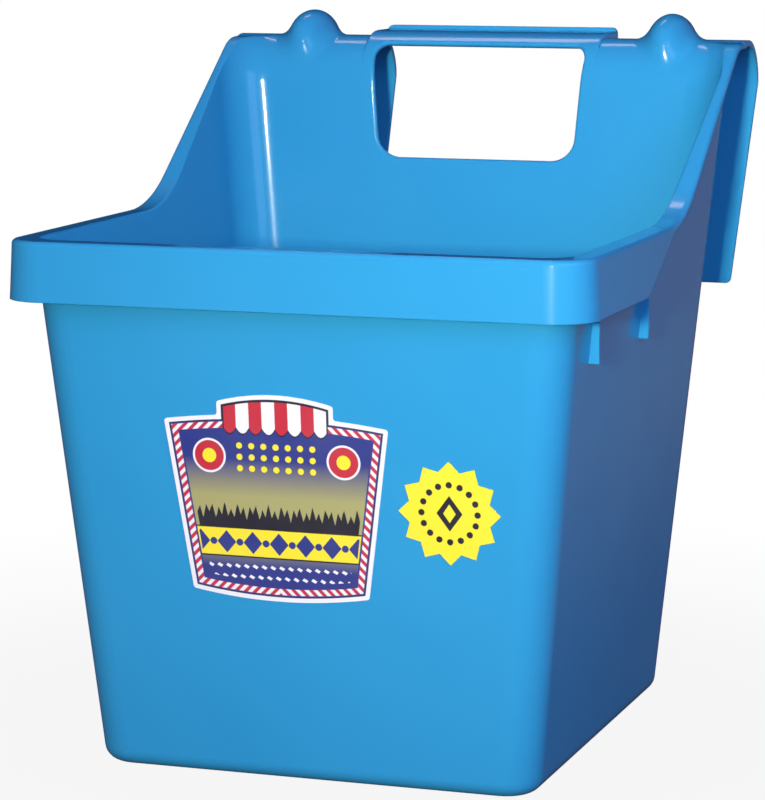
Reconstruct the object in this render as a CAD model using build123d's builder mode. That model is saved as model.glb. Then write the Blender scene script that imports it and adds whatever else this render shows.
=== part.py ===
from build123d import *
import os
from math import atan2, cos, pi, radians, sin, tan

# Hook-over-fence feeder bucket: one moulded tub with its hooks, and two stickers.
# The origin is the centre of the flat base on the ground. The hooks face +Y, the front faces -Y.
# All lengths are in millimetres and all angles in degrees.

# Wall of the moulding
wall = 3.0
floor_thickness = 3.5

# Tub
base_width = 218.0
base_depth = 246.0
rim_height = 254.0
side_draft = 5.5
front_draft = 4.7
back_draft = 2.9
front_corner_radius = 18.0
rear_corner_radius = 25.0
base_round = 8.0

# Folded front lip
lip_width = 8.0
lip_height = 28.2
lip_flare = 3.0
lip_corner_radius = 19.5
lip_tail_length = 106.0
lip_tail_slope = 25.0
lip_tail_round = 14.0

# Wings that climb from the rim to the crest
wing_foot = 177.0
wing_head = 22.5
wing_foot_round = 80.0
wing_top_round = 22.0
wing_step = 1.0

# Hooks
crest_height = 336.0
hook_gap = 43.0
flap_length = 130.5
flap_outer_taper = 7.2
flap_inner_taper = 6.7
hook_spacing = 121.0
flap_corner_radius = 3.0

# Handle opening and grip
opening_width = 117.0
opening_height = 58.6
opening_taper = 4.9
opening_top_radius = 6.0
opening_bottom_radius = 13.0
grip_drop = 5.0
grip_rise = 2.5
grip_fade = 2.6
grip_width = 129.6
grip_edge_round = 1.6
tail_width = 129.0
tail_rise = 2.0
tail_drop = 11.5
tail_corner_radius = 3.0

# Domes on the hooks
dome_width = 26.0
dome_length = 46.0
dome_depth = 17.0
dome_height = 13.2
dome_spacing = 200.0
dome_setback = 1.4

# Stacking ribs on the side walls
rib_thickness = 3.0
rib_drop = 24.5
first_rib = 52.0
rib_spacing = 89.0
rib_count = 2

# Small edge rounds
rim_outer_round = 2.4
rim_inner_bevel = 0.7
edge_round = 1.0
touch = 0.01

# Stickers on the front wall
sticker_thickness = 0.4
label_shift = -10.0
label_centre_height = 132.0
label_top_width = 110.0
label_bottom_width = 87.0
label_height = 81.0
label_bow = 4.0
crown_width = 57.0
crown_height = 5.5
crown_bow = 4.0
label_corner_radius = 1.5
star_shift = 73.3
star_centre_height = 135.0
star_radius = 24.4
star_notch = 4.6
star_points = 12

os.makedirs("parts", exist_ok=True)


# Places on the drafted walls


def half_width(z):
    return base_width / 2 + z * tan(radians(side_draft))


def front_y(z):
    return -base_depth / 2 - z * tan(radians(front_draft))


def back_y(z):
    return base_depth / 2 + z * tan(radians(back_draft))


channel_radius = hook_gap / 2
roll_radius = channel_radius + wall
roll_z = crest_height - roll_radius
roll_y = back_y(roll_z) + channel_radius / cos(radians(back_draft))
flap_y = roll_y + roll_radius
lip_half_width = half_width(rim_height) + lip_width
lip_front = front_y(rim_height) - lip_width
wing_rise = crest_height - wing_step - rim_height
wing_run = roll_y - wing_head - lip_front - wing_foot
wing_angle = atan2(wing_rise, wing_run)
top_z = crest_height + rear_corner_radius + roll_radius
reach = lip_half_width + base_depth


# Tapered solid inside the tub's surface, with the roll of the hooks pressed into its back


def tub_form(inset, bottom):
    radius = channel_radius + inset
    front_shift = inset / cos(radians(front_draft))
    back_shift = inset / cos(radians(back_draft))
    side_shift = inset / cos(radians(side_draft))
    roll_top = (roll_y, roll_z + radius)
    roll_foot = (
        roll_y - radius * cos(radians(back_draft)),
        roll_z + radius * sin(radians(back_draft)),
    )
    back_foot = (back_y(bottom) - back_shift, bottom)
    front_foot = (front_y(bottom) + front_shift, bottom)
    front_top = (front_y(top_z) + front_shift, top_z)
    with BuildPart() as form:
        with BuildSketch(Plane.YZ):
            with BuildLine():
                Polyline(roll_foot, back_foot, front_foot, front_top, (roll_y, top_z), roll_top)
                RadiusArc(roll_top, roll_foot, -radius)
            make_face()
        extrude(amount=reach, both=True)
        with BuildSketch(Plane.XZ):
            with BuildLine():
                Polyline(
                    (side_shift - half_width(bottom), bottom),
                    (half_width(bottom) - side_shift, bottom),
                    (half_width(top_z) - side_shift, top_z),
                    (side_shift - half_width(top_z), top_z),
                    close=True,
                )
            make_face()
        extrude(amount=reach, both=True, mode=Mode.INTERSECT)
        sides = form.faces().sort_by(Axis.X)
        side_edges = sides[0].edges() + sides[-1].edges()
        inner_edges = side_edges.filter_by(lambda edge: bottom + 1 < edge.center().Z < top_z - 1)
        front_edges = inner_edges.filter_by(lambda edge: edge.center().Y < 0)
        rear_edges = inner_edges.filter_by(lambda edge: 0 < edge.center().Y < roll_y - 1)
        fillet(front_edges, front_corner_radius - inset)
        fillet(rear_edges, rear_corner_radius - inset)
        fillet(form.faces().sort_by(Axis.Z)[0].edges(), base_round - inset)
    return form.part


# Edge of the wings, seen from the side, moved down by drop


def wing_points(drop):
    slope = tan(wing_angle)
    shift = drop * (1 / cos(wing_angle) - 1)
    foot_y = lip_front + wing_foot + shift / slope
    top = crest_height - wing_step - drop
    head_y = foot_y + (top - rim_height + drop) / slope
    return (foot_y, rim_height - drop), (head_y, top)


# Space above the rim, the wings and the crest, moved down by drop


def space_above(drop):
    foot, head = wing_points(drop)
    with BuildPart() as space:
        with BuildSketch(Plane.YZ):
            with BuildLine():
                FilletPolyline(
                    (lip_front - reach, foot[1]),
                    foot,
                    head,
                    (roll_y + reach, head[1]),
                    radius=[wing_foot_round + drop, wing_top_round - drop],
                )
                Polyline(
                    (roll_y + reach, head[1]),
                    (roll_y + reach, top_z + reach),
                    (lip_front - reach, top_z + reach),
                    (lip_front - reach, foot[1]),
                )
            make_face()
        extrude(amount=reach, both=True)
    return space.part


# Solid inside the lip's outer surface, or inside its hollow when inset is the wall


def lip_form(inset):
    side = lip_half_width - inset
    front = lip_front + inset
    with BuildPart() as form:
        with BuildSketch(Plane.XY.offset(rim_height - wall)) as plan:
            with Locations((0, front)):
                Rectangle(2 * side, roll_y - front, align=(Align.CENTER, Align.MIN))
            fillet(plan.vertices().group_by(Axis.Y)[0], lip_corner_radius - inset)
        extrude(amount=-2 * lip_height, taper=-lip_flare)
        extrude(to_extrude=plan.sketch, amount=top_z - rim_height + wall)
    return form.part


# Mouldings that are joined into the one body


def trimmed_hollow(hollow, limit):
    with BuildPart() as trimmed:
        add(hollow)
        add(limit, mode=Mode.SUBTRACT)
    return trimmed.part


# Zone that the lip and the wing flange fill, seen from the side


def lip_zone(web):
    skirt_bottom = rim_height - lip_height
    tail_y = lip_front + lip_tail_length
    tail_end = tail_y + lip_height / tan(radians(lip_tail_slope))
    with BuildPart() as zone:
        add(web)
        with BuildSketch(Plane.YZ):
            with BuildLine():
                FilletPolyline(
                    (lip_front - reach, skirt_bottom),
                    (tail_y, skirt_bottom),
                    (tail_end, rim_height),
                    radius=lip_tail_round,
                )
                Polyline(
                    (tail_end, rim_height),
                    (tail_end, top_z),
                    (lip_front - reach, top_z),
                    (lip_front - reach, skirt_bottom),
                )
            make_face()
        extrude(amount=reach, both=True)
    return zone.part


def folded_lip(top_space, web_space):
    hollow = trimmed_hollow(lip_form(wall), web_space)
    with BuildPart() as lip:
        add(lip_form(0.0))
        add(hollow, mode=Mode.SUBTRACT)
        add(lip_zone(web_space), mode=Mode.INTERSECT)
        add(top_space, mode=Mode.SUBTRACT)
        top_edges = lip.edges().filter_by(lambda edge: top_space.distance_to(edge @ 0.5) < touch)
        side_edges = top_edges.filter_by(Axis.X, reverse=True)
        fillet(side_edges + top_edges.filter_by(Axis.X).sort_by(Axis.Y)[:1], rim_outer_round)
    return lip.part


# Twin hooks: the roll over the back panel and the two flaps that hang from it


def hooks():
    centre = (roll_y, roll_z)
    arc_size = 180 - back_draft
    flap_bottom = crest_height - flap_length
    flap_drop = roll_z - flap_bottom
    outer_foot = lip_half_width - flap_drop * tan(radians(flap_outer_taper))
    inner_foot = hook_spacing / 2 + flap_drop * tan(radians(flap_inner_taper))
    with BuildPart() as pair:
        with BuildSketch(Plane.YZ):
            with BuildLine():
                outer_arc = CenterArc(centre, roll_radius, 0, arc_size)
                inner_arc = CenterArc(centre, channel_radius, 0, arc_size)
                Line(outer_arc @ 1, inner_arc @ 1)
                Polyline(
                    outer_arc @ 0,
                    (flap_y, flap_bottom),
                    (flap_y - wall, flap_bottom),
                    inner_arc @ 0,
                )
            make_face()
        extrude(amount=lip_half_width, both=True)
        with BuildSketch(Plane.XZ.offset(-roll_y)) as gap:
            with BuildLine():
                Polyline(
                    (-hook_spacing / 2, top_z),
                    (-hook_spacing / 2, roll_z),
                    (-inner_foot, flap_bottom),
                    (inner_foot, flap_bottom),
                    (hook_spacing / 2, roll_z),
                    (hook_spacing / 2, top_z),
                    close=True,
                )
            make_face()
        extrude(amount=-reach, mode=Mode.SUBTRACT)
        with BuildSketch(Plane.XZ.offset(-roll_y)):
            with BuildLine():
                Polyline(
                    (lip_half_width, roll_z),
                    (outer_foot, flap_bottom),
                    (lip_half_width, flap_bottom),
                    close=True,
                )
            make_face()
            mirror(about=Plane.YZ)
        extrude(amount=-reach, mode=Mode.SUBTRACT)
        fillet(pair.edges().filter_by(Axis.Y).group_by(Axis.Z)[0], flap_corner_radius)
        for face_y in (flap_y, flap_y - wall):
            faces = pair.faces().filter_by(lambda face: abs(face.center().Y - face_y) < touch)
            fillet(faces.edges().filter_by(lambda edge: (edge @ 0.5).Z < roll_z - touch), edge_round)
        corner_x = half_width(roll_z) - rear_corner_radius
        for place, side in ((corner_x, Align.MIN), (-corner_x, Align.MAX)):
            with Locations((place, roll_y, crest_height - wing_step - wall)):
                Box(reach, reach, reach, align=(side, Align.MAX, Align.MAX), mode=Mode.SUBTRACT)
    return pair.part


# Grip over the opening: a raised plate that rolls back to an upright tail


def grip():
    fade_angle = 75
    top = crest_height + grip_rise
    under = crest_height - wall / 2
    with BuildPart() as plate:
        with BuildSketch(Plane.YZ):
            with BuildLine():
                upper = CenterArc((roll_y + grip_fade, roll_z), roll_radius + grip_rise, 90, fade_angle)
                lower = CenterArc((roll_y, roll_z), channel_radius + wall / 2, 90, fade_angle)
                Line(upper @ 1, lower @ 1)
                Polyline(upper @ 0, (flap_y - wall / 2, top), (flap_y - wall / 2, under), lower @ 0)
            make_face()
        extrude(amount=grip_width / 2, both=True)
        ends = plate.faces().filter_by(Axis.X)
        flat_ridges = ends.edges().filter_by(lambda edge: (edge @ 0.5).Z > top - touch)
        fillet(flat_ridges + ends.edges().filter_by(GeomType.CIRCLE).group_by(SortBy.LENGTH)[-1], edge_round)
        with BuildSketch(Plane.XZ.offset(-flap_y)) as tail:
            with Locations((0, top + tail_rise)):
                Rectangle(tail_width, tail_drop, align=(Align.CENTER, Align.MAX))
            fillet(tail.vertices().group_by(Axis.Y)[-1], tail_corner_radius)
        extrude(amount=wall)
    return plate.part


def opening_cut():
    top = crest_height - grip_drop
    half_top = opening_width / 2
    half_bottom = half_top - opening_height * tan(radians(opening_taper))
    with BuildPart() as cut:
        with BuildSketch(Plane.XZ.offset(-roll_y)) as outline:
            with BuildLine():
                Polyline(
                    (-half_top, top),
                    (-half_bottom, top - opening_height),
                    (half_bottom, top - opening_height),
                    (half_top, top),
                    close=True,
                )
            make_face()
            fillet(outline.vertices().group_by(Axis.Y)[0], opening_bottom_radius)
            fillet(outline.vertices().group_by(Axis.Y)[-1], opening_top_radius)
        extrude(amount=roll_radius + 2 * wall)
    return cut.part


# Domes on the crest of the hooks, hollow from below


def dome(inset):
    with BuildPart() as bump:
        Sphere(1.0)
        scale(by=(dome_width / 2 - inset, dome_length / 2 - inset, dome_depth - inset))
    with BuildPart() as pair:
        for side in (-1, 1):
            with Locations((side * dome_spacing / 2, roll_y + dome_setback, crest_height + dome_height - dome_depth)):
                add(bump.part)
    return pair.part


def dome_shells():
    with BuildPart() as shells:
        add(dome(0.0))
        with Locations((0, roll_y, roll_z)):
            Cylinder(channel_radius, 2 * lip_half_width, rotation=(0, 90, 0), mode=Mode.SUBTRACT)
    return shells.part


# Stacking ribs between the side walls and the folded lip


def ribs():
    foot = rim_height - lip_height - rib_drop
    root = half_width(foot) - wall / 2
    with BuildPart() as fins:
        for place in range(rib_count):
            with Locations((root, lip_front + first_rib + place * rib_spacing, foot)):
                Box(
                    half_width(rim_height) - root,
                    rib_thickness,
                    rim_height - wall / 2 - foot,
                    align=(Align.MIN, Align.MIN, Align.MIN),
                )
        mirror(about=Plane.YZ)
    return fins.part


# Outline of the front label, seen from the front


def label_sheet():
    half_top = label_top_width / 2
    half_bottom = label_bottom_width / 2
    half_height = label_height / 2
    half_crown = crown_width / 2
    crown_top = half_height + label_bow + crown_height
    with BuildPart() as sheet:
        with BuildSketch(wall_plane(label_shift, label_centre_height)) as outline:
            with BuildLine():
                Line((-half_top, half_height), (-half_bottom, -half_height))
                SagittaArc((-half_bottom, -half_height), (half_bottom, -half_height), -label_bow)
                Line((half_bottom, -half_height), (half_top, half_height))
                SagittaArc((half_top, half_height), (-half_top, half_height), -label_bow)
            make_face()
            with BuildLine():
                Polyline((-half_crown, crown_top), (-half_crown, 0), (half_crown, 0), (half_crown, crown_top))
                SagittaArc((half_crown, crown_top), (-half_crown, crown_top), -crown_bow)
            make_face()
            fillet(outline.vertices(), label_corner_radius)
        extrude(amount=sticker_thickness)
    return sheet.part


# Plane on the drafted front wall, facing away from the tub


def wall_plane(x, z):
    outward = (0, -cos(radians(front_draft)), -sin(radians(front_draft)))
    return Plane(origin=(x, front_y(z), z), x_dir=(1, 0, 0), z_dir=outward)


# Corner of the starburst: the tips take the even steps and the notches the odd ones


def star_corner(step):
    radius = star_radius - star_notch * (step % 2)
    angle = pi * step / star_points
    return radius * cos(angle), radius * sin(angle)


outer_form = tub_form(0.0, 0.0)
inner_form = tub_form(wall, floor_thickness)
above = space_above(0.0)
opening = opening_cut()

with BuildPart() as feeder_body:
    add(outer_form)
    add(ribs())
    add(folded_lip(above, space_above(wall)))
    add(inner_form, mode=Mode.SUBTRACT)
    add(above, mode=Mode.SUBTRACT)
    with Locations((0, roll_y, roll_z)):
        Cylinder(channel_radius, 2 * reach, rotation=(0, 90, 0), mode=Mode.SUBTRACT)
    rim_edges = feeder_body.edges().filter_by(lambda edge: above.distance_to(edge @ 0.5) < touch)
    chamfer(rim_edges.filter_by(lambda edge: inner_form.distance_to(edge @ 0.5) < touch), rim_inner_bevel)
    add(hooks())
    add(grip())
    add(opening, mode=Mode.SUBTRACT)
    grip_foot = crest_height - grip_drop
    for place, radius in ((0, grip_edge_round), (-1, edge_round)):
        level_edges = feeder_body.edges().filter_by(Axis.X)
        bar_edges = level_edges.filter_by(lambda edge: abs((edge @ 0.5).Z - grip_foot) < touch)
        fillet(bar_edges.sort_by(Axis.Y)[place], radius)
    add(dome_shells())
    add(dome(wall), mode=Mode.SUBTRACT)

with BuildPart() as star_sticker:
    with BuildSketch(wall_plane(star_shift, star_centre_height)):
        with BuildLine():
            Polyline(*[star_corner(step) for step in range(2 * star_points)], close=True)
        make_face()
    extrude(amount=sticker_thickness)

feeder_body.part.label = "feeder_body"
front_label = label_sheet()
front_label.label = "front_label"
star_sticker.part.label = "star_sticker"
export_step(feeder_body.part, "parts/feeder_body.step")
export_step(front_label, "parts/front_label.step")
export_step(star_sticker.part, "parts/star_sticker.step")
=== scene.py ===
import bmesh
import bpy
from math import cos, pi, radians, sin, sqrt
from mathutils import Matrix, Vector


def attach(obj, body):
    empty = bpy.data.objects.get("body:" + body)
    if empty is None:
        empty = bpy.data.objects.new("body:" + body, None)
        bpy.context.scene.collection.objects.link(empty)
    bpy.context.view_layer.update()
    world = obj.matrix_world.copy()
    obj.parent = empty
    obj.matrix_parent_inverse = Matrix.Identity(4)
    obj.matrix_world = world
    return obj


# Bucket feeder: the moulded tub and the two stickers on its front wall

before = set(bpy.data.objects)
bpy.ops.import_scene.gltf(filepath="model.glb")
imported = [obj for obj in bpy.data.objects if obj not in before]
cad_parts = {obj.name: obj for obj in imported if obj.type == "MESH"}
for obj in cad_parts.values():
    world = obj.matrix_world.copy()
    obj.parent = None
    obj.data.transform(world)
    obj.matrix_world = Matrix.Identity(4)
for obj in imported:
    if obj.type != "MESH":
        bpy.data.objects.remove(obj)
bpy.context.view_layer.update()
MM = 0.001

# Places taken from the solids, in millimetres and degrees
FRONT_DRAFT = radians(4.7)
LABEL_X = -10.0
LABEL_Z = 132.0
STAR_X = 73.3
STAR_Z = 135.0
ROLL_Y = 160.34
ROLL_Z = 311.5
ROLL_RADIUS = 24.5
DOME_X = 100.0

# Centre of a dome from the axis of the roll, and its radii, along X, Y and Z
DOME_CENTRE = (0.0, 1.4, 20.7)
DOME_RADII = (13.0, 23.0, 17.0)

# Strength of the light from all round, and how much of the white background the plastic mirrors
AMBIENT = 0.48
MIRRORED = 0.13


# Camera: a long lens in front of the tub, a little to its right and above


def add_camera():
    yaw, pitch, roll = radians(18.924), radians(8.757), radians(-0.095)
    distance, focal_px, long_side_px = 1.6449, 3312.1, 800
    shift_right_px, shift_up_px = -10.0, -13.1
    target = Vector((0, 0, 0.17))
    forward = Vector((-sin(yaw) * cos(pitch), cos(yaw) * cos(pitch), -sin(pitch)))
    right = Vector((cos(yaw), sin(yaw), 0))
    up = right.cross(forward)
    turned_right = right * cos(roll) + up * sin(roll)
    turned_up = up * cos(roll) - right * sin(roll)
    data = bpy.data.cameras.new("camera")
    data.sensor_width = 36
    data.lens = focal_px / long_side_px * data.sensor_width
    data.shift_x = shift_right_px / long_side_px
    data.shift_y = shift_up_px / long_side_px
    data.clip_start = 0.01
    data.clip_end = 100
    camera = bpy.data.objects.new("camera", data)
    bpy.context.scene.collection.objects.link(camera)
    turn = Matrix((turned_right, turned_up, -forward)).transposed()
    camera.matrix_world = Matrix.Translation(target - forward * distance) @ turn.to_4x4()
    bpy.context.scene.camera = camera


add_camera()


# Shader helpers


class Shader:
    """The node tree of a material or of the world, with its maths written as calls."""

    def __init__(self, owner, output="ShaderNodeOutputMaterial"):
        self.owner = owner
        owner.use_nodes = True
        self.tree = owner.node_tree
        self.tree.nodes.clear()
        self.output = self.node(output)

    def node(self, kind, inputs=None, **settings):
        """A new node with its settings and its inputs, which are values or other nodes' sockets."""
        made = self.tree.nodes.new(kind)
        for key, value in settings.items():
            setattr(made, key, value)
        for key, source in (inputs or {}).items():
            self.join(source, made.inputs[key])
        return made

    def join(self, source, socket):
        if isinstance(source, (int, float, tuple)):
            socket.default_value = source
        else:
            self.tree.links.new(source, socket)

    def math(self, operation, *inputs):
        return self.node("ShaderNodeMath", dict(enumerate(inputs)), operation=operation).outputs[0]

    def mix(self, factor, first, second):
        inputs = {"Factor": factor, 6: first, 7: second}
        return self.node("ShaderNodeMix", inputs, data_type="RGBA").outputs[2]

    def paint(self, ground, mask, color):
        """The ground with the colour over it where the mask is 1."""
        return self.mix(mask.socket, ground, color)

    def noise(self, vector, scale, detail=2.0, roughness=0.5):
        inputs = {"Vector": vector, "Scale": scale, "Detail": detail, "Roughness": roughness}
        return self.node("ShaderNodeTexNoise", inputs).outputs["Fac"]

    def ramp(self, value, low, high, start=0.0, stop=1.0, **settings):
        """A number that goes from low to high while the value goes from start to stop."""
        inputs = {"Value": value, "From Min": start, "From Max": stop, "To Min": low, "To Max": high}
        return self.node("ShaderNodeMapRange", inputs, **settings).outputs["Result"]

    def place(self, kind="Object"):
        return self.node("ShaderNodeTexCoord").outputs[kind]

    def parts(self, vector):
        return tuple(self.node("ShaderNodeSeparateXYZ", {0: vector}).outputs)

    def bump(self, height, strength, distance, normal=None):
        inputs = {"Height": height, "Strength": strength, "Distance": distance}
        if normal is not None:
            inputs["Normal"] = normal
        return self.node("ShaderNodeBump", inputs).outputs[0]

    def show(self, made):
        self.join(made.outputs[0], self.output.inputs["Surface"])

    def show_blend(self, factor, first, second):
        inputs = {0: factor, 1: first.outputs[0], 2: second.outputs[0]}
        self.show(self.node("ShaderNodeMixShader", inputs))


def linear(red, green, blue):
    """A screen colour, 0 to 255, as the linear colour a shader takes."""
    shares = (value / 255 for value in (red, green, blue))
    return tuple(s / 12.92 if s <= 0.04045 else ((s + 0.055) / 1.055) ** 2.4 for s in shares) + (1.0,)


class Field:
    """A number that varies over the surface. Arithmetic on it adds Math nodes."""

    def __init__(self, shader, socket):
        self.shader = shader
        self.socket = socket

    def apply(self, operation, *others):
        plain = [other.socket if isinstance(other, Field) else float(other) for other in others]
        return Field(self.shader, self.shader.math(operation, self.socket, *plain))

    def __add__(self, other):
        return self.apply("ADD", other)

    def __sub__(self, other):
        return self.apply("SUBTRACT", other)

    def __mul__(self, other):
        return self.apply("MULTIPLY", other)

    def __truediv__(self, other):
        return self.apply("DIVIDE", other)

    def __neg__(self):
        return self.apply("MULTIPLY", -1)

    def __abs__(self):
        return self.apply("ABSOLUTE")

    def lower(self, *others):
        found = self
        for other in others:
            found = found.apply("MINIMUM", other)
        return found

    def upper(self, other):
        return self.apply("MAXIMUM", other)

    def inside(self, edge=0.0, soft=0.12):
        """1 where the field is above edge, 0 below it, changing over soft millimetres on each side."""
        return Field(self.shader, self.shader.ramp(self.socket, 0.0, 1.0, edge - soft, edge + soft))

    def wave(self, period):
        """Distance to the nearest whole multiple of period, from 0 to half the period."""
        return abs((self / period).apply("FRACT") - 0.5) * -period + period / 2


def length(first, second):
    """Length of the line whose two legs are the fields."""
    return (first * first + second * second).apply("SQRT")


# Moulded plastic of the tub


def moulded_plastic():
    shader = Shader(bpy.data.materials.new("moulded_plastic"))
    place = shader.place()
    cloud = shader.noise(place, 9.0, 3.0)
    grain = shader.noise(place, 900.0)
    sink = shader.noise(place, 26.0)
    wear = shader.noise(place, 60.0, 6.0, 0.7)
    edge = shader.node("ShaderNodeBevel", {"Radius": 0.9 * MM}, samples=4).outputs[0]
    fine = shader.bump(grain, 0.05, 0.1 * MM, edge)
    shader.show(shader.node("ShaderNodeBsdfPrincipled", {
        "Base Color": shader.mix(cloud, linear(42, 148, 194), linear(54, 157, 202)),
        "Roughness": shader.ramp(wear, 0.16, 0.28),
        "Normal": shader.bump(sink, 0.06, 1.0 * MM, fine),
        "Specular IOR Level": 0.12,
        "Coat Weight": 0.5,
        "Coat Roughness": 0.06,
        "Coat IOR": 1.35,
        "Coat Normal": edge,
    }))
    return shader.owner


# Printed films of the two stickers

GREY = (0.5, 0.5, 0.5, 1.0)
NAVY = linear(38, 52, 128)
INK = linear(22, 22, 34)
WHITE = linear(240, 242, 240)
RED = linear(196, 40, 56)
YELLOW = linear(250, 232, 44)
OLIVE = linear(170, 168, 104)


def sheet_axes(shader, x, z):
    """Millimetres across and up the sloping front wall from the point x, z."""
    place = shader.parts(shader.place())
    across = Field(shader, place[0]) / MM - x
    up = (Field(shader, place[2]) / MM - z) / cos(FRONT_DRAFT)
    return across, up


def printed_film(shader, color):
    place = shader.place()
    fibre = shader.noise(place, 1400.0, 3.0)
    tone = shader.noise(place, 35.0, 3.0)
    shader.show(shader.node("ShaderNodeBsdfPrincipled", {
        "Base Color": shader.mix(shader.ramp(tone, 0.0, 0.08), color, GREY),
        "Roughness": shader.ramp(tone, 0.3, 0.42),
        "Normal": shader.bump(fibre, 0.05, 0.05 * MM),
        "Specular IOR Level": 0.3,
        "Coat Weight": 0.2,
        "Coat Roughness": 0.15,
    }))
    return shader.owner


def label_outline(u, v):
    """Millimetres in from the label's sides, its foot, the panel's edge and the crown's edge."""
    half_top, half_bottom, half_height, bow = 55.0, 43.5, 40.5, 4.0
    half_crown, crown_top, crown_bow = 28.5, 54.0, 4.0
    lean = (half_top - half_bottom) / (2 * half_height)
    side = (v * lean - abs(u) + (half_top + half_bottom) / 2) * cos(lean)
    top = -v - (u * u) * (bow / half_top**2) + (half_height + bow)
    foot = v - (u * u) * (bow / half_bottom**2) + (half_height + bow)
    crown_edge = -v - (u * u) * (crown_bow / half_crown**2) + crown_top
    crown = (-abs(u) + half_crown).lower(crown_edge, v)
    return side, foot, side.lower(top, foot), crown


def label_film():
    shader = Shader(bpy.data.materials.new("label_film"))
    u, v = sheet_axes(shader, LABEL_X, LABEL_Z)
    wide = abs(u)
    side, foot, panel, crown = label_outline(u, v)
    sheet = panel.upper(crown)

    # Ground that runs from navy through olive to navy
    ground = shader.paint(OLIVE, v.inside(14, 9), NAVY)
    ground = shader.paint(ground, (-v).inside(21, 8), NAVY)

    # Rosettes in the upper corners, with rows of beads between them
    rosette_across, rosette_up = 33, 24
    bead_step, bead_row, bead_radius = 6, 5.4, 1.5
    high = v - rosette_up
    ring = length(wide - rosette_across, high)
    beads = length(u.wave(bead_step), high.wave(bead_row))
    strip = (-wide + 21.0).lower(-abs(high) + 7.4).inside()
    ground = shader.paint(ground, (-beads + bead_radius).inside() * strip, YELLOW)
    for radius, color in ((8.2, WHITE), (7.2, RED), (3.4, YELLOW)):
        ground = shader.paint(ground, (-ring + radius).inside(), color)

    # Tufts of grass across the middle
    blades = -v - 6.2 + u.wave(3.1) * 3.2 + (u + 1.1).wave(7.3) * 0.9
    grass = blades.inside() * (v + 10.0).inside() * (side - 8.5).inside()
    ground = shader.paint(ground, grass, INK)

    # Rows of seeds along the foot
    seed_step, seed_row = 4.4, 5.0
    seeds = -((u + v * 0.5).wave(seed_step) / 1.5 + (v + 33.5).wave(seed_row) / 1.1) + 1
    rows = (v + 36.0).lower(-v - 26.0, side - 10, foot - 9).inside()
    ground = shader.paint(ground, seeds.inside(0, 0.1) * rows, WHITE)

    # Yellow band with lozenges and discs under the grass
    mark_step, disc_radius = 13, 1.7
    middle = v + 17.0
    band = (-abs(middle) + 7.2).lower(side - 6.4)
    lozenge = -(u.wave(mark_step) / 4.7 + abs(middle) / 5.4) + 1
    disc = -length((u - mark_step / 2).wave(mark_step), middle) + disc_radius
    marks = (lozenge * 5).upper(disc).inside() * (band - 1.4).inside()
    belt = shader.paint(YELLOW, marks, NAVY)
    belt = shader.paint(INK, (band - 0.7).inside(), belt)
    ground = shader.paint(ground, band.inside(), belt)

    # Candy-stripe border between navy lines
    stripes = (wide + v).wave(4.6)
    edging = shader.paint(RED, (stripes - 1.15).inside(0, 0.2), WHITE)
    edging = shader.paint(NAVY, (panel - 3.2).lower(-panel + 6.2).inside(), edging)
    colors = shader.paint(edging, (panel - 7.0).inside(), ground)

    # Striped awning in the crown
    stripe_width = 6.4
    scallop = (u - stripe_width / 2).wave(stripe_width)
    awning = (v - 34.5 - scallop * scallop * 0.28).lower(crown - 2.6)
    striped = (u - stripe_width / 2).wave(2 * stripe_width) - stripe_width / 2
    cloth = shader.paint(RED, striped.inside(), WHITE)
    cloth = shader.paint(INK, (awning - 0.7).inside(), cloth)
    colors = shader.paint(colors, awning.inside(), cloth)

    # Dark outline and white margin of the die-cut edge
    margin, line = 2.1, 0.5
    colors = shader.paint(INK, (sheet - margin - line).inside(), colors)
    colors = shader.paint(WHITE, (sheet - margin).inside(), colors)
    return printed_film(shader, colors)


def star_film():
    shader = Shader(bpy.data.materials.new("star_film"))
    u, v = sheet_axes(shader, STAR_X, STAR_Z)
    bead_count, bead_ring, bead_radius = 16, 13.4, 1.5
    ring = length(u, v)
    turn = v.apply("ARCTAN2", u) / (2 * pi)
    along = turn.wave(1 / bead_count) * ring * (2 * pi)
    beads = -length(along, ring - bead_ring) + bead_radius
    lozenge = (-(abs(u) / 6.2 + abs(v) / 8.4) + 1) * 6
    core = (-(abs(u) / 3.0 + abs(v) / 4.4) + 1) * 3
    marks = beads.upper(lozenge.lower(-core))
    return printed_film(shader, shader.paint(YELLOW, marks.inside(), INK))


def dress(node_name, material):
    for material_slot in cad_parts[node_name].material_slots:
        material_slot.material = material


dress("feeder_body", moulded_plastic())
dress("front_label", label_film())
dress("star_sticker", star_film())


# Concave feet that run from the two domes down onto the roll of the hooks


def depth_in_plastic(x, y, z):
    """Distance to the roll and the dome with a soft hollow between them, below zero inside.

    The point is in millimetres from the axis of the roll, in the middle plane of the dome.
    """
    hollow = 8.0
    to_roll = sqrt(y * y + z * z) - ROLL_RADIUS
    from_centre = [value - middle for value, middle in zip((x, y, z), DOME_CENTRE)]
    scaled = [value / radius for value, radius in zip(from_centre, DOME_RADII)]
    reach = sqrt(sum(value * value for value in scaled))
    slope = sqrt(sum((value / radius) ** 2 for value, radius in zip(scaled, DOME_RADII)))
    to_dome = reach * (reach - 1) / slope
    share = max(hollow - abs(to_roll - to_dome), 0) / hollow
    return min(to_roll, to_dome) - share * share * hollow / 4


def foot_radius(x, turn):
    """Distance from the axis of the roll to the skin of the foot, in the direction turn."""
    sunk, halvings = 0.15, 26
    low, high = 22.0, 42.0
    for _ in range(halvings):
        middle = (low + high) / 2
        if depth_in_plastic(x, middle * sin(turn), middle * cos(turn)) < -sunk:
            low = middle
        else:
            high = middle

    # Behind the roll the foot stays inside the outer face of the flap
    steepest = 0.5
    return min(low, (ROLL_RADIUS - sunk) / max(sin(turn), steepest))


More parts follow.
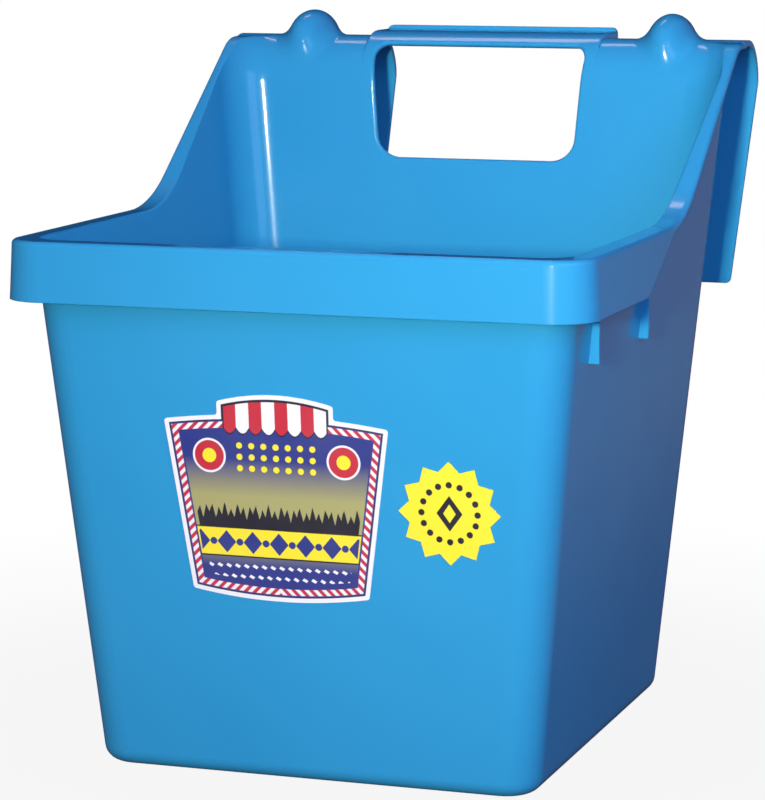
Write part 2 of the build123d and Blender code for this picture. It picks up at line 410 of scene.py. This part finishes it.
def add_dome_foot(name, side):
    """A closed shell over the roll round one dome: its skin, and a hidden face inside the plastic."""
    half_width, columns, rows = 22.5, 75, 84
    first_turn, last_turn, hidden_radius = radians(-84), radians(78), 22.6
    corners = []
    for skin in (True, False):
        for column in range(columns + 1):
            x = half_width * (2 * column / columns - 1)
            for row in range(rows + 1):
                turn = first_turn + (last_turn - first_turn) * row / rows
                radius = foot_radius(x, turn) if skin else hidden_radius
                y, z = radius * sin(turn), radius * cos(turn)
                corners.append(((side * DOME_X + x) * MM, (ROLL_Y + y) * MM, (ROLL_Z + z) * MM))
    faces = []
    shift = (columns + 1) * (rows + 1)
    for column in range(columns):
        for row in range(rows):
            a = column * (rows + 1) + row
            b, c, d = a + 1, a + rows + 2, a + rows + 1
            faces += [(a, b, c, d), (d + shift, c + shift, b + shift, a + shift)]
    rim = list(range(rows + 1))
    rim += [column * (rows + 1) + rows for column in range(1, columns + 1)]
    rim += [columns * (rows + 1) + row for row in range(rows - 1, -1, -1)]
    rim += [column * (rows + 1) for column in range(columns - 1, 0, -1)]
    for place, corner in enumerate(rim):
        after = rim[(place + 1) % len(rim)]
        faces.append((corner, after, after + shift, corner + shift))
    mesh = bpy.data.meshes.new(name)
    mesh.from_pydata(corners, [], faces)
    shape = bmesh.new()
    shape.from_mesh(mesh)
    bmesh.ops.recalc_face_normals(shape, faces=shape.faces)
    for face in shape.faces:
        face.smooth = True
    shape.to_mesh(mesh)
    shape.free()
    mesh.materials.append(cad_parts["feeder_body"].material_slots[0].material)
    foot = bpy.data.objects.new(name, mesh)
    bpy.context.scene.collection.objects.link(foot)
    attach(foot, "root")


add_dome_foot("dome_foot_left", -1)
add_dome_foot("dome_foot_right", 1)


# Floor, background and soft studio light


def background_rays(shader, x, start, stop):
    """1 for camera and transmission rays, and for glossy rays a share that rises with x.

    The plastic mirrors the background only to the right of the part, so its rear edges stay dark.
    """
    path = shader.node("ShaderNodeLightPath").outputs
    share = shader.ramp(x, 0.0, MIRRORED, start, stop)
    mirrored = shader.math("MULTIPLY", path["Is Glossy Ray"], share)
    seen = shader.math("MAXIMUM", path["Is Camera Ray"], mirrored)
    return shader.math("MAXIMUM", seen, path["Is Transmission Ray"])


def add_floor():
    half = 8.0
    mesh = bpy.data.meshes.new("floor")
    corners = [(-half, -half, 0), (half, -half, 0), (half, half, 0), (-half, half, 0)]
    mesh.from_pydata(corners, [], [(0, 1, 2, 3)])
    floor = bpy.data.objects.new("floor", mesh)
    bpy.context.scene.collection.objects.link(floor)
    shader = Shader(bpy.data.materials.new("pale_floor"))
    place = shader.place()
    x, y, _ = shader.parts(place)
    away = length(Field(shader, x), Field(shader, y)).socket

    # Near the part a little of the floor's own tone and shadow shows through the white
    near, far, white_near = 0.15, 0.6, 0.91
    fade = shader.ramp(away, white_near, 1.0, near, far, interpolation_type="SMOOTHSTEP")
    factor = shader.math("MULTIPLY", fade, background_rays(shader, x, 0.16, 0.3))
    speck = shader.noise(place, 40.0)
    color = shader.mix(speck, (0.11, 0.11, 0.12, 1), (0.14, 0.14, 0.15, 1))
    matte = shader.node("ShaderNodeBsdfDiffuse", {"Color": color})
    white = shader.node("ShaderNodeEmission", {"Strength": 1.0})
    shader.show_blend(factor, matte, white)
    mesh.materials.append(shader.owner)


def add_world():
    """White for the camera, and a soft light from all round that is stronger from the front."""
    sky = Shader(bpy.data.worlds.new("studio"), "ShaderNodeOutputWorld")
    bpy.context.scene.world = sky.owner
    x, y, _ = sky.parts(sky.place("Generated"))
    from_side = sky.ramp(y, AMBIENT * 1.45, AMBIENT * 0.6, -1.0, 1.0)
    glossy = sky.node("ShaderNodeLightPath").outputs["Is Glossy Ray"]
    strength = sky.math("MULTIPLY", from_side, sky.math("SUBTRACT", 1.0, glossy))
    ambient = sky.node("ShaderNodeBackground", {"Color": (0.85, 0.58, 1.0, 1.0), "Strength": strength})
    white = sky.node("ShaderNodeBackground", {"Color": (1, 1, 1, 1)})
    sky.show_blend(background_rays(sky, x, 0.05, 0.3), ambient, white)


def around(azimuth, elevation, distance, height=0.24):
    """A point at that azimuth from straight in front, to the right, and that elevation."""
    turn, rise = radians(azimuth), radians(elevation)
    across, up = distance * cos(rise), height + distance * sin(rise)
    return (across * sin(turn), -across * cos(turn), up)


def add_softbox(name, place, target, size, power, color, spread=180):
    data = bpy.data.lights.new(name, "AREA")
    data.shape = "RECTANGLE"
    data.size, data.size_y = size
    data.energy = power
    data.color = color
    data.spread = radians(spread)
    lamp = bpy.data.objects.new(name, data)
    bpy.context.scene.collection.objects.link(lamp)
    lamp.location = place
    lamp.rotation_euler = (Vector(target) - Vector(place)).to_track_quat("-Z", "Y").to_euler()


add_floor()
add_world()
add_softbox("flash", around(8.5, 7, 2.2), (0.12, 0, 0.28), (0.12, 0.12), 1.9, (1.0, 1.0, 0.87),
            spread=38)
add_softbox("fill", around(43, 18, 1.0), (0, 0, 0.2), (0.5, 0.5), 4.1, (0.34, 0.52, 1.0))
add_softbox("back_lamp", around(-152, 55, 1.8), (0, 0, 0.24), (0.5, 0.2), 1.8, (1.0, 0.76, 0.8))
bpy.context.scene.view_settings.view_transform = "Standard"
